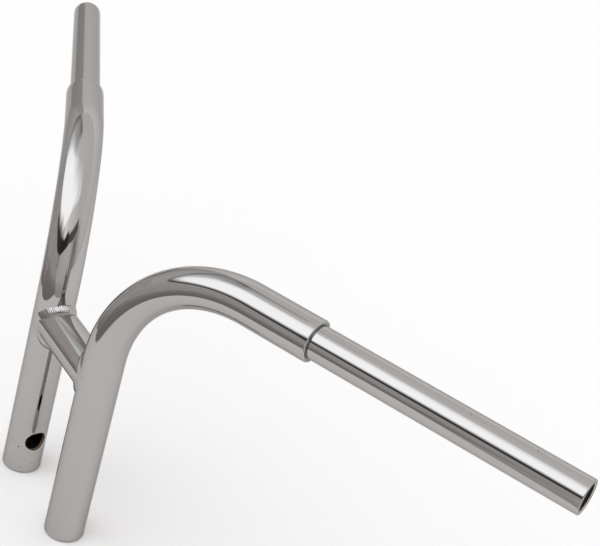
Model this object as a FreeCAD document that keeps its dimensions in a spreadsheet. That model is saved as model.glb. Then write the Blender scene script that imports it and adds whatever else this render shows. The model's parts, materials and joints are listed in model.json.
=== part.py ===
# Handlebar of the T-bar kind: two bent tubes rise from bolted feet, tied by a coped and welded cross tube.
# The origin lies midway between the feet on their mounting plane.
# +X is the rider's right, +Y forward, +Z up.
import FreeCAD
import Part
import Sketcher
import math
import os

V = FreeCAD.Vector
UP = V(0, 0, 1)

# Each driving size in millimetres or degrees, with what it measures.
SIZES = [
    ("riser_spacing", 88.9, "between the centres of the two feet"),
    ("riser_length", 160.5, "straight leg from foot to bend"),
    ("bend_radius", 106.0, "centre line of the quarter bend from leg to arm"),
    ("pullback", 24.8, "degrees that each arm is swept back towards the rider"),
    ("arm_length", 53.5, "straight arm from bend to grip"),
    ("tube_diameter", 31.75, "outside of the legs, arms and cross tube"),
    ("tube_wall", 3.4, "wall of the legs, arms and cross tube"),
    ("foot_rounding", 1.2, "outer edge of each foot"),
    ("arm_end_rounding", 0.8, "outer edge of each arm where the grip comes out"),
    ("grip_diameter", 25.4, "outside of the grip tube"),
    ("grip_wall", 2.4, "wall of the grip tube"),
    ("grip_length", 203.5, "grip tube that shows beyond the arm"),
    ("grip_rim_rounding", 0.9, "both edges of the grip's open end"),
    ("spigot_length", 38.0, "end of the grip tube that sits inside the arm"),
    ("slip_gap", 0.05, "radial gap round what is pushed into a tube"),
    ("bung_length", 20.0, "threaded plug in each foot"),
    ("thread_bore", 10.7, "hole through the plug, at the root of its thread"),
    ("thread_lead_in", 0.5, "chamfer at both ends of the thread"),
    ("wire_hole_diameter", 18.0, "wiring hole in each leg"),
    ("wire_hole_height", 31.0, "wiring hole's centre above the foot"),
    ("wire_hole_turn", 4.5, "degrees that the wiring hole is turned to the rider from facing the other leg"),
    ("cross_height", 142.0, "centre line of the cross tube above the feet"),
    ("cope_gap", 0.15, "fit-up gap between the coped ends and the legs"),
    ("weld_radius", 5.2, "rounded face of the weld bead"),
    ("weld_crown", 1.1, "height of the bead above the line between its toes"),
]

# Which way each side of the bar lies along X.
SIDES = {"left": -1, "right": 1}

TUBE_BORE = "(Sizes.tube_diameter - 2 * Sizes.tube_wall)"
INSERT_DIAMETER = "(Sizes.tube_diameter - 2 * Sizes.tube_wall - 2 * Sizes.slip_gap)"
GRIP_BORE = "(Sizes.grip_diameter - 2 * Sizes.grip_wall)"
GRIP_HEIGHT = "(Sizes.riser_length + Sizes.bend_radius)"


def make_sheet(doc):
    """The spreadsheet of driving sizes, one row each: meaning, value."""
    sheet = doc.addObject("Spreadsheet::Sheet", "Sizes")
    for row, (alias, value, meaning) in enumerate(SIZES, start=1):
        sheet.set(f"A{row}", meaning)
        sheet.set(f"B{row}", str(value))
        sheet.setAlias(f"B{row}", alias)
    doc.recompute()
    return sheet


def add_body(doc, label):
    body = doc.addObject("PartDesign::Body", label)
    body.Label = label
    return body


def add_sketch(body, name, role):
    """A sketch on one of the body's own origin planes."""
    plane = next(item for item in body.Origin.OriginFeatures if item.Role == role)
    sketch = body.newObject("Sketcher::SketchObject", name)
    sketch.AttachmentSupport = [(plane, "")]
    sketch.MapMode = "FlatFace"
    return sketch


def bind(sketch, constraint, name, formula):
    """Add a named dimension to the sketch, driven by the formula."""
    index = sketch.addConstraint(constraint)
    sketch.renameConstraint(index, name)
    sketch.setExpression(f"Constraints.{name}", formula)


def add_circle(sketch, name, diameter):
    """A circle about the sketch's origin."""
    circle = sketch.addGeometry(Part.Circle(V(0, 0, 0), UP, 1))
    sketch.addConstraint(Sketcher.Constraint("Coincident", circle, 3, -1, 1))
    bind(sketch, Sketcher.Constraint("Diameter", circle, 2), name, diameter)


def add_pad(body, name, sketch, length):
    pad = body.newObject("PartDesign::Pad", name)
    pad.Profile = sketch
    pad.setExpression("Length", length)
    return pad


def circular_edges(feature, centre, diameters):
    """Names of the feature's circular edges with these diameters about a centre in the body's own frame."""
    names = []
    for number, edge in enumerate(feature.Shape.Edges, start=1):
        curve = edge.Curve
        if not isinstance(curve, Part.Circle) or not curve.Center.isEqual(centre, 1e-4):
            continue
        if any(abs(2 * curve.Radius - diameter) < 1e-4 for diameter in diameters):
            names.append(f"Edge{number}")
    return names


def round_edges(body, name, feature, centre, diameters, radius):
    """Fillet the named circular edges of the body's last feature."""
    fillet = body.newObject("PartDesign::Fillet", name)
    fillet.Base = (feature, circular_edges(feature, centre, diameters))
    fillet.setExpression("Radius", radius)
    body.Document.recompute()
    return fillet


def stand_on_leg(body, side, reach="0", height="0"):
    """Place a body over its side's foot, its local X along the swept-back arm, moved out along X and up."""
    heading = "-Sizes.pullback" if side > 0 else "180 + Sizes.pullback"
    body.Placement = FreeCAD.Placement(V(0, 0, 0), FreeCAD.Rotation(UP, 90))
    body.setExpression(".Placement.Rotation.Angle", f"({heading}) * 1 deg")
    out = f"cos(Sizes.pullback * 1 deg) * ({reach})"
    body.setExpression(".Placement.Base.x", f"{side} * (Sizes.riser_spacing / 2 + {out})")
    body.setExpression(".Placement.Base.y", f"-sin(Sizes.pullback * 1 deg) * ({reach})")
    body.setExpression(".Placement.Base.z", height)


def make_bar_tube(doc, sheet, name, side):
    """Leg, quarter bend and arm in one hollow tube, with a rounded foot and the wiring hole."""
    body = add_body(doc, f"{name}_bar_tube")
    section = add_sketch(body, f"{name}_tube_section", "XY_Plane")
    add_circle(section, "outside", "Sizes.tube_diameter")
    add_circle(section, "bore", TUBE_BORE)

    leg = sheet.riser_length
    bend = sheet.bend_radius
    end = bend + sheet.arm_length
    path = add_sketch(body, f"{name}_tube_path", "XZ_Plane")
    riser = path.addGeometry(Part.LineSegment(V(0, 0, 0), V(0, leg, 0)))
    quarter = Part.Circle(V(bend, leg, 0), UP, bend)
    turn = path.addGeometry(Part.ArcOfCircle(quarter, math.pi / 2, math.pi))
    arm = path.addGeometry(Part.LineSegment(V(bend, leg + bend, 0), V(end, leg + bend, 0)))
    path.addConstraint(Sketcher.Constraint("Coincident", riser, 1, -1, 1))
    path.addConstraint(Sketcher.Constraint("Vertical", riser))
    path.addConstraint(Sketcher.Constraint("Tangent", riser, 2, turn, 2))
    path.addConstraint(Sketcher.Constraint("Tangent", turn, 1, arm, 1))
    path.addConstraint(Sketcher.Constraint("Horizontal", arm))
    bind(path, Sketcher.Constraint("DistanceY", riser, 1, riser, 2, leg), "leg", "Sizes.riser_length")
    bind(path, Sketcher.Constraint("Radius", turn, bend), "bend", "Sizes.bend_radius")
    bind(path, Sketcher.Constraint("DistanceX", arm, 1, arm, 2, end - bend), "arm", "Sizes.arm_length")

    tube = body.newObject("PartDesign::AdditivePipe", f"{name}_tube")
    tube.Profile = section
    tube.Spine = path
    doc.recompute()

    outside = [sheet.tube_diameter]
    arm_end = V(end, 0, leg + bend)
    foot = round_edges(body, f"{name}_foot_edge", tube, V(0, 0, 0), outside, "Sizes.foot_rounding")
    round_edges(body, f"{name}_arm_edge", foot, arm_end, outside, "Sizes.arm_end_rounding")

    drill = add_sketch(body, f"{name}_wire_hole_outline", "YZ_Plane")
    drill.AttachmentOffset = FreeCAD.Placement(V(0, 0, 0), FreeCAD.Rotation(V(0, 1, 0), 90))
    facing = f"{side} * (180 + Sizes.wire_hole_turn + Sizes.pullback) * 1 deg"
    drill.setExpression(".AttachmentOffset.Rotation.Angle", facing)
    hole = drill.addGeometry(Part.Circle(V(0, sheet.wire_hole_height, 0), UP, 1))
    drill.addConstraint(Sketcher.Constraint("PointOnObject", hole, 3, -2))
    height = Sketcher.Constraint("DistanceY", -1, 1, hole, 3, sheet.wire_hole_height)
    bind(drill, height, "height", "Sizes.wire_hole_height")
    bind(drill, Sketcher.Constraint("Diameter", hole, 2), "width", "Sizes.wire_hole_diameter")
    pocket = body.newObject("PartDesign::Pocket", f"{name}_wire_hole")
    pocket.Profile = drill
    pocket.Reversed = True
    pocket.setExpression("Length", "Sizes.tube_diameter")

    stand_on_leg(body, side)
    return body


def make_grip_tube(doc, sheet, name, side):
    """Grip with a rounded open end, and a spigot that sits inside the arm up to the grip's shoulder."""
    body = add_body(doc, f"{name}_grip_tube")
    section = add_sketch(body, f"{name}_grip_section", "YZ_Plane")
    add_circle(section, "outside", "Sizes.grip_diameter")
    add_circle(section, "bore", GRIP_BORE)
    add_pad(body, f"{name}_grip", section, "Sizes.grip_length")

    inside = add_sketch(body, f"{name}_spigot_section", "YZ_Plane")
    add_circle(inside, "outside", INSERT_DIAMETER)
    add_circle(inside, "bore", GRIP_BORE)
    spigot = add_pad(body, f"{name}_spigot", inside, "Sizes.spigot_length")
    spigot.Reversed = True
    doc.recompute()

    rim = [sheet.grip_diameter, sheet.grip_diameter - 2 * sheet.grip_wall]
    open_end = V(sheet.grip_length, 0, 0)
    round_edges(body, f"{name}_grip_rim", spigot, open_end, rim, "Sizes.grip_rim_rounding")
    stand_on_leg(body, side, "Sizes.bend_radius + Sizes.arm_length", GRIP_HEIGHT)
    return body


def make_foot_bung(doc, sheet, name, side):
    """Round plug flush with the foot, with a threaded hole right through."""
    body = add_body(doc, f"{name}_foot_bung")
    section = add_sketch(body, f"{name}_bung_section", "XY_Plane")
    add_circle(section, "outside", INSERT_DIAMETER)
    add_circle(section, "thread", "Sizes.thread_bore")
    plug = add_pad(body, f"{name}_plug", section, "Sizes.bung_length")
    doc.recompute()

    mouths = []
    for height in (0, sheet.bung_length):
        mouths += circular_edges(plug, V(0, 0, height), [sheet.thread_bore])
    lead_in = body.newObject("PartDesign::Chamfer", f"{name}_thread_lead_in")
    lead_in.Base = (plug, mouths)
    lead_in.setExpression("Size", "Sizes.thread_lead_in")
    stand_on_leg(body, side)
    return body


def make_cross_tube(doc):
    """Straight tube from leg to leg, both ends coped round the legs' outside."""
    body = add_body(doc, "cross_tube")
    section = add_sketch(body, "cross_section", "YZ_Plane")
    add_circle(section, "outside", "Sizes.tube_diameter")
    add_circle(section, "bore", TUBE_BORE)
    tube = add_pad(body, "cross_stock", section, "Sizes.riser_spacing")
    tube.Midplane = True

    legs = add_sketch(body, "cope_outline", "XY_Plane")
    for name, side in SIDES.items():
        leg = legs.addGeometry(Part.Circle(V(side, 0, 0), UP, 1))
        legs.addConstraint(Sketcher.Constraint("PointOnObject", leg, 3, -1))
        inner, outer = (leg, -1) if side < 0 else (-1, leg)
        points = (inner, 3 if inner == leg else 1, outer, 3 if outer == leg else 1)
        bind(legs, Sketcher.Constraint("DistanceX", *points, 1), f"{name}_leg", "Sizes.riser_spacing / 2")
        cope = "Sizes.tube_diameter + 2 * Sizes.cope_gap"
        bind(legs, Sketcher.Constraint("Diameter", leg, 2), f"{name}_cope", cope)
    copes = body.newObject("PartDesign::Pocket", "copes")
    copes.Profile = legs
    copes.Midplane = True
    copes.setExpression("Length", "2 * Sizes.tube_diameter")

    body.setExpression(".Placement.Base.z", "Sizes.cross_height")
    return body


def rod_centre(turn, radius, rod, crown):
    """Where a weld rod's centre lies, seen in the seam's own plane: along the plane's slope, and along Y.

    The turn runs from 0 at the top of the seam to a quarter turn at its side. The centre lies on the
    bisector of the two tubes' surfaces, sunk so that the rod rises by crown above the line between its
    toes.
    """
    across = math.cos(turn)
    aside = math.sin(turn)
    bisector = V(across, 2 * aside, across).normalize()
    spread = math.acos(min(1, bisector.dot(V(across, aside, 0))))
    half_width = math.sqrt(2 * rod * crown - crown ** 2)
    rise = half_width * math.tan(spread) + crown - rod
    centre = V(across, aside, across) * radius + bisector * rise
    return math.hypot(centre.x, centre.z), centre.y


def seam_rod(radius, rod, crown):
    """Round rod along the upper half of the seam between two equal tubes with axes Z and X.

    Its path is half an ellipse with straight tails, through the rod's true centre at the seam's top, at its
    sides and half way between. The tails run on past the sides, to be mitred against the lower half's.
    """
    reach, _ = rod_centre(0, radius, rod, crown)
    middle, middle_aside = rod_centre(math.pi / 4, radius, rod, crown)
    _, aside = rod_centre(math.pi / 2, radius, rod, crown)
    share = math.sqrt(1 - (middle_aside / aside) ** 2)
    flat = (middle - share * reach) / (1 - share)
    tail = -2 * rod
    ellipse = Part.Ellipse(V(flat, 0, 0), reach - flat, aside)
    path = Part.Wire([
        Part.LineSegment(V(tail, -aside, 0), V(flat, -aside, 0)).toShape(),
        Part.ArcOfEllipse(ellipse, -math.pi / 2, math.pi / 2).toShape(),
        Part.LineSegment(V(flat, aside, 0), V(tail, aside, 0)).toShape(),
    ])
    section = Part.Wire(Part.Circle(V(tail, -aside, 0), V(1, 0, 0), rod).toShape())
    bar = path.makePipeShell([section], True, False)
    bar.rotate(V(0, 0, 0), V(0, 1, 0), -45)
    return bar


def make_cross_weld(doc, sheet, name, side):
    """Weld bead round one end of the cross tube, seated on the leg and on the cross tube."""
    radius = sheet.tube_diameter / 2
    room = 4 * radius
    upper_room = Part.makeBox(2 * room, 2 * room, room, V(-room, -room, 0))
    leg = Part.makeCylinder(radius, 2 * room, V(0, 0, -room), UP)
    cross = Part.makeCylinder(radius, room, V(0, 0, 0), V(1, 0, 0))
    rod = seam_rod(radius, sheet.weld_radius, sheet.weld_crown)
    upper = rod.common(upper_room).cut(leg).cut(cross)
    lower = upper.mirror(V(0, 0, 0), UP)

    weld = doc.addObject("Part::Feature", f"{name}_cross_weld")
    weld.Label = f"{name}_cross_weld"
    weld.Shape = upper.fuse(lower).removeSplitter()
    facing = 0 if side < 0 else 180
    place = V(side * sheet.riser_spacing / 2, 0, sheet.cross_height)
    weld.Placement = FreeCAD.Placement(place, FreeCAD.Rotation(UP, facing))
    return weld


def check(doc, parts):
    """Stop if any object failed to compute or any sub-part isn't one valid solid."""
    for item in doc.Objects:
        if "Invalid" in item.State or "Error" in item.State:
            raise RuntimeError(f"{item.Label} failed: {item.State}")
    for part in parts:
        shape = part.Shape
        if shape.isNull() or not shape.isValid() or len(shape.Solids) != 1:
            raise RuntimeError(f"{part.Label} is not one valid solid")


def main():
    doc = FreeCAD.newDocument("handlebar")
    sheet = make_sheet(doc)
    parts = [make_cross_tube(doc)]
    for name, side in SIDES.items():
        parts.append(make_bar_tube(doc, sheet, name, side))
        parts.append(make_grip_tube(doc, sheet, name, side))
        parts.append(make_foot_bung(doc, sheet, name, side))
        parts.append(make_cross_weld(doc, sheet, name, side))
    doc.recompute()
    check(doc, parts)
    os.makedirs("parts", exist_ok=True)
    for part in parts:
        part.Shape.exportStep(f"parts/{part.Label}.step")


main()
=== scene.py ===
import json
import math

import bpy
import numpy as np
from bpy.props import FloatProperty, FloatVectorProperty, IntProperty, PointerProperty
from mathutils import Matrix, Vector


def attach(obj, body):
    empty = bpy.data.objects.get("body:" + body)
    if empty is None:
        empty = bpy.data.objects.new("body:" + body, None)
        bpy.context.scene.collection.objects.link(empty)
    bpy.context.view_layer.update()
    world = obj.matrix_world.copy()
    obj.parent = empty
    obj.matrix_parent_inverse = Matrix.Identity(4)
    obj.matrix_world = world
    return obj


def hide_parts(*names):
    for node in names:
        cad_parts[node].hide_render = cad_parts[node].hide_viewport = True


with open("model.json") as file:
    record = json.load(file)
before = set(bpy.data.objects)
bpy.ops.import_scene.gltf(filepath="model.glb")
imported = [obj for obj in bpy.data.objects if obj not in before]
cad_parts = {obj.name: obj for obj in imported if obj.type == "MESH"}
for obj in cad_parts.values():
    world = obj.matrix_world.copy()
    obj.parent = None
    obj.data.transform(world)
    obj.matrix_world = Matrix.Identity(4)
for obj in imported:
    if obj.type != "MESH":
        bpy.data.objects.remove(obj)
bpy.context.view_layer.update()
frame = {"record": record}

bl_info = {
    "name": "Chrome T-bar handlebar",
    "version": (1, 0, 0),
    "blender": (4, 5, 0),
    "location": "3D View > Sidebar > Handlebar",
    "description": "Dresses the packed handlebar: plated tubes, weld beads and threaded feet, on a stage",
    "category": "Object",
}

MOUNTS = {mount["name"]: mount for mount in frame["record"]["mounts"]}
SIDES = {"left": -1, "right": 1}
UP = np.array([0.0, 0.0, 1.0])

# Surfaces of a tube, in the order of its materials.
PLATE, BORE, END, EDGE, CUT = range(5)

# Points round a bent tube, and the window in its grid that the wiring hole fills: half its columns, its rows,
# and how far it reaches above and below the middle of the hole.
TUBE_COLUMNS = 160
WINDOW_HALF, WINDOW_ROWS, WINDOW_REACH = 25, 24, 0.0145

# Nicks in the plate that the photograph shows: degrees round the tube, distance along it, and radius. Those
# on the right leg are counted from +X and the foot, those on the left grip from its top and the arm's end.
LEG_NICKS = [
    (133, 0.0248, 0.0011), (214, 0.0101, 0.0010), (91, 0.0287, 0.0006), (108, 0.0289, 0.0006),
    (117, 0.0275, 0.0007), (152, 0.0050, 0.0006), (165, 0.0075, 0.0005), (176, 0.0095, 0.0006),
    (172, 0.0065, 0.0005), (182, 0.0103, 0.0005),
]
GRIP_NICKS = [(14, 0.1173, 0.0007), (6, 0.1647, 0.0008), (19, 0.1275, 0.0005)]

# The stage in metres: half the floor's width, the heights of what lies flat, the corners of the tables and
# the ends of the board, and where their shades change.
FLOOR_REACH = 40.0
FLOOR_HEIGHT, GREY_TABLE_HEIGHT, BROWN_TABLE_HEIGHT = -0.0006, 0.0, 0.0004
GREY_TABLE = [(43.6, -5.98), (43.6, 45.0), (-40.0, 45.0), (-40.0, -14.0), (-0.50, -0.10), (-0.30, 0.372)]
BROWN_TABLE = [(-0.36, 0.385), (0.49, 0.262), (43.3, 25.0), (-25.0, 41.6)]
TABLE_DARK_WITHIN, TABLE_PALE_BEYOND = 0.3, 1.6
BOARD_START, BOARD_END = (0.129, 0.196), (0.219, 0.063)
BOARD_LOW, BOARD_PALE_FROM, BOARD_HIGH = 0.088, 0.175, 0.285
DULL = {"Roughness": 0.9, "Specular IOR Level": 0.1}
LAMP_TINT = (0.955, 1.0, 1.03)


def mount_size(mount, dimension):
    """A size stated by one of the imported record's mounts, in metres."""
    return MOUNTS[mount]["dims"][dimension] / 1000


def length(name, description, default):
    return FloatProperty(name=name, description=description, default=default, unit="LENGTH", precision=5)


def rotation(name, description, degrees):
    return FloatProperty(name=name, description=description, default=math.radians(degrees), subtype="ANGLE")


def position(name, description, default):
    return FloatVectorProperty(
        name=name, description=description, default=default, subtype="TRANSLATION", unit="LENGTH")


def colour(name, description, default):
    return FloatVectorProperty(
        name=name, description=description, default=default, subtype="COLOR", min=0, max=4)


def share(name, description, default):
    return FloatProperty(name=name, description=description, default=default, subtype="FACTOR", min=0, max=1)


class TubeSizes(bpy.types.PropertyGroup):
    """The two bent tubes and the cross tube between them."""

    riser_spacing: length(
        "Riser spacing", "Between the centres of the two feet", mount_size("riser_bolts", "spacing_x_mm"))
    leg: length("Leg", "Straight leg from foot to bend", 0.1605)
    bend: length("Bend radius", "Centre line of the quarter bend", 0.106)
    pullback: rotation("Pullback", "How far each arm is swept back", 24.8)
    arm: length("Arm", "Straight arm from bend to grip", 0.0535)
    diameter: length("Diameter", "Outside of the legs, arms and cross tube", 0.03175)
    wall: length("Wall", "Wall of the legs, arms and cross tube", 0.0034)
    flattening: share("Flattening", "How much thinner the bend is half way round, in its own plane", 0.07)
    foot_rounding: length("Foot rounding", "Outer edge of each foot", 0.0012)
    arm_rounding: length("Arm end rounding", "Outer edge of each arm where the grip comes out", 0.0013)
    hole: length("Wiring hole", "Radius of the wiring hole", mount_size("left_wire_hole", "r_mm"))
    hole_height: length("Wiring hole height", "Centre of the wiring hole above the foot", 0.031)
    hole_turn: rotation("Wiring hole turn", "How far the hole is turned towards the rider", 4.5)
    hole_rounding: length("Wiring hole edge", "Worn outer edge of the wiring hole", 0.0005)
    cross_height: length("Cross height", "Centre line of the cross tube above the feet", 0.142)
    cope_gap: length("Cope gap", "Gap between the coped ends and the legs", 0.00015)


class GripSizes(bpy.types.PropertyGroup):
    """The thinner open tubes that the grips go on."""

    diameter: length("Diameter", "Outside of the grip tube", 2 * mount_size("left_grip", "r_mm"))
    bore: length("Bore", "Inside of the grip tube", 2 * mount_size("left_bar_end", "r_mm"))
    shown: length("Shown length", "Grip tube that shows beyond the arm", 0.2035)
    spigot: length("Spigot", "End of the grip tube that sits inside the arm", 0.038)
    slip_gap: length("Slip gap", "Gap round what is pushed into a tube", 0.00005)
    rim_rounding: length("Rim rounding", "Both edges of the open end", 0.0009)
    seam_ridge: length("Seam ridge", "Height of the rolled tube's seam inside the bore", 0.00045)


class BungSizes(bpy.types.PropertyGroup):
    """The threaded plugs in the feet."""

    height: length("Height", "Length of the plug", 0.020)
    thread_root: length(
        "Thread bore", "Radius at the crests of the inside thread", mount_size("riser_bolts", "hole_r_mm"))
    thread_depth: length("Thread depth", "How deep the thread is cut", 0.0009)
    pitch: length("Thread pitch", "Rise of the thread in one turn", 0.0254 / 13)
    lead_in: length("Lead-in", "Chamfer at both ends of the thread", 0.0005)


class WeldSizes(bpy.types.PropertyGroup):
    """The beads between the cross tube and the legs."""

    face_radius: length("Face radius", "Radius of the bead's round face", 0.0068)
    sink: length("Sink", "How far the middle of that round face lies under both tubes", 0.0016)
    tip_sink: length("Tip sink", "The same where the tubes run side by side and the bead runs out", 0.0043)
    tip_rounding: length("Tip rounding", "How far the bead cuts the corner there", 0.0035)
    depth: length("Depth", "How deep the bead is melted into both tubes", 0.0022)
    ripple: share("Ripple", "Height of the ripples as a share of the face radius", 0.08)
    ripple_pitch: length("Ripple pitch", "Length of one ripple along the bead", 0.0014)
    seed: IntProperty(name="Seed", description="Chooses how the ripples differ", default=7)


class FinishColours(bpy.types.PropertyGroup):
    """Colours and gloss of the metals."""

    chrome: colour("Chrome", "Bright chrome plate", (0.445, 0.424, 0.413))
    grazing: colour("Grazing", "Tint of the chrome where it is seen along its surface", (0.60, 0.59, 0.58))
    # Colour of the dark, dull end faces of the arms and of the grips' tips.
    dark_end_faces: colour("Dark end faces", "Dark dull metal on the end faces of arms and grips", (0.20, 0.20, 0.193))
    pit: colour("Pit", "Bottom of a pit or nick in the plate", (0.10, 0.085, 0.07))
    # Pale worn edge of the plate at the wiring hole; on the grips' inner rims the same pale colour is a
    # painted highlight.
    worn_edge_and_highlight: colour("Worn edge and highlight", "Worn edge of the plate at the wiring hole, and a painted highlight on the grips' inner rims", (0.92, 0.80, 0.70))
    plate_wear: colour("Plate wear", "Duller places along that edge", (0.50, 0.41, 0.34))
    cut_steel: colour("Cut steel", "Wall of the tube in the wiring hole", (0.31, 0.245, 0.195))
    cut_stain: colour("Cut stain", "Stains on that wall", (0.09, 0.062, 0.045))
    # Bare steel of the bores, darkened to near black as painted shade inside the tubes.
    shaded_raw_steel: colour("Shaded raw steel", "Bare steel inside the tubes, darkened as painted shade", (0.035, 0.029, 0.023))
    rust: colour("Rust", "Stains on the bare steel", (0.016, 0.010, 0.007))
    turned_steel: colour("Turned steel", "Machined faces of the foot plugs", (0.42, 0.40, 0.37))
    gloss: share("Gloss", "Roughness of the clean plate", 0.035)


class StageSettings(bpy.types.PropertyGroup):
    """Floor, light tent and camera."""

    floor: colour("Floor", "Paper under the bar", (0.945, 0.920, 0.907))
    grey_table: colour("Grey table", "Table that only shiny parts show", (0.66, 0.64, 0.62))
    grey_table_edge: colour("Grey table edge", "The same table near the bar", (0.47, 0.455, 0.44))
    brown_table: colour("Brown table", "Darker cloth on that table", (0.50, 0.475, 0.455))
    brown_table_edge: colour("Brown table edge", "The same cloth near the bar", (0.255, 0.24, 0.228))
    board: colour("Board", "Board that only shiny parts show", (0.72, 0.70, 0.685))
    board_foot: colour("Board foot", "The same board at its lower edge", (0.42, 0.40, 0.385))
    lamp: FloatProperty(name="Lamp", description="Brightness of the tent's lit side", default=2.05, min=0)
    camera: position("Camera", "Where the camera stands", (-0.819149, 0.485470, 0.733966))
    aim: position("Aim", "Point in the middle of the picture", (-0.131034, -0.083741, 0.283968))
    roll: rotation("Roll", "How far the camera leans", 16.872)
    lens: FloatProperty(
        name="Lens", description="Focal length on a 36 mm frame", default=86.626, unit="CAMERA")


def torus_quads(rows, columns):
    """Faces of a grid that closes on itself both ways, seen from outside when rows run along +T and columns
    turn from N to T x N."""
    index = np.arange(rows * columns).reshape(rows, columns)
    across = np.roll(index, -1, axis=1)
    onward = np.roll(index, -1, axis=0)
    corner = np.roll(across, -1, axis=0)
    return np.stack([index, across, corner, onward], axis=-1).reshape(-1, 4)


def make_piece(name, node, slot, materials, points, quads, face_material=None):
    """Put whole arrays of points and four-sided faces into a smooth mesh that stands for one CAD node."""
    mesh = bpy.data.meshes.new(name)
    mesh.vertices.add(len(points))
    mesh.vertices.foreach_set("co", points.astype(np.float32).ravel())
    mesh.loops.add(4 * len(quads))
    mesh.loops.foreach_set("vertex_index", quads.astype(np.int32).ravel())
    mesh.polygons.add(len(quads))
    mesh.polygons.foreach_set("loop_start", np.arange(0, 4 * len(quads), 4, dtype=np.int32))
    mesh.polygons.foreach_set("use_smooth", np.ones(len(quads), dtype=bool))
    for material in materials:
        mesh.materials.append(material)
    if face_material is not None:
        mesh.polygons.foreach_set("material_index", face_material.astype(np.int32))
    mesh.update(calc_edges=True)
    if mesh.validate():
        raise RuntimeError(f"{name} has faulty faces")
    mesh.set_sharp_from_angle(angle=math.radians(33))
    piece = bpy.data.objects.new(name, mesh)
    bpy.context.scene.collection.objects.link(piece)
    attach(piece, "root")
    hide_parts(node)


def circle(columns):
    """Angles of the columns round a tube."""
    return 2 * math.pi * np.arange(columns) / columns


def quarter_round(steps):
    """Sines and cosines along a quarter of a circle, without its first point."""
    turn = np.linspace(0, math.pi / 2, steps + 1)[1:]
    return np.sin(turn), np.cos(turn)


def walls_of(sizes):
    """Outer and inner radius of the legs, arms and cross tube."""
    return sizes.diameter / 2, sizes.diameter / 2 - sizes.wall


def foot_centre(side, sizes):
    return np.array([side * sizes.riser_spacing / 2, 0.0, 0.0])


def heading(side, sizes):
    """Unit vector along an arm, which leaves its bend sideways and is swept back."""
    return np.array([side * math.cos(sizes.pullback), -math.sin(sizes.pullback), 0.0])


def arm_end(side, sizes):
    """Point on the centre line where an arm ends and its grip tube comes out."""
    reach = (sizes.bend + sizes.arm) * heading(side, sizes)
    return foot_centre(side, sizes) + (sizes.leg + sizes.bend) * UP + reach


def bar_points(along, radius, angle, side, sizes):
    """Points at these distances from the foot, and at a radius and an angle round a bent tube's centre line.

    The line runs up the leg, round a quarter circle and out along the arm. With its normal N towards the
    bend's middle and its steady binormal B, a point is centre + r (cos N + sin B). Half way round the bend
    the section is an ellipse, thinner along N.
    """
    out = heading(side, sizes)
    turn = np.clip((along - sizes.leg) / sizes.bend, 0, math.pi / 2)[:, None]
    past_bend = np.maximum(along - sizes.leg - sizes.bend * math.pi / 2, 0)[:, None]
    rise = np.minimum(along, sizes.leg)[:, None] + sizes.bend * np.sin(turn)
    reach = sizes.bend * (1 - np.cos(turn)) + past_bend
    centre = foot_centre(side, sizes) + rise * UP + reach * out
    normal = np.cos(turn) * out - np.sin(turn) * UP
    thin = radius[:, None] * (1 - sizes.flattening * np.sin(2 * turn) ** 1.5)
    return (centre[:, None, :] + (thin * np.cos(angle))[:, :, None] * normal[:, None, :]
            + (radius[:, None] * np.sin(angle))[:, :, None] * np.cross(UP, out))


def bar_rows(sizes):
    """Distances from the foot at which both walls of a bent tube have a ring of points.

    Returns them, and the number of the first one in the wiring hole's window.
    """
    bend_end = sizes.leg + sizes.bend * math.pi / 2
    low, high = sizes.hole_height - WINDOW_REACH, sizes.hole_height + WINDOW_REACH
    below_steps, above_steps, bend_steps, arm_steps = 9, 14, 72, 7
    below = np.linspace(sizes.foot_rounding, low, below_steps + 1)[:-1]
    rows = np.concatenate([
        below,
        np.linspace(low, high, WINDOW_ROWS + 1),
        np.linspace(high, sizes.leg, above_steps + 1)[1:-1],
        np.linspace(sizes.leg, bend_end, bend_steps + 1),
        np.linspace(bend_end, bend_end + sizes.arm - sizes.arm_rounding, arm_steps + 1)[1:]])
    return rows, len(below)


def window_loop(first):
    """Rows and columns of the points round the window's edge, once round from its lower corner."""
    aside, upward = np.arange(-WINDOW_HALF, WINDOW_HALF), np.arange(WINDOW_ROWS)
    rows = np.concatenate([
        np.zeros(2 * WINDOW_HALF, int), upward, np.full(2 * WINDOW_HALF, WINDOW_ROWS), upward[::-1] + 1])
    columns = np.concatenate([
        aside, np.full(WINDOW_ROWS, WINDOW_HALF), aside[::-1] + 1, np.full(WINDOW_ROWS, -WINDOW_HALF)])
    return first + rows, columns


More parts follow.
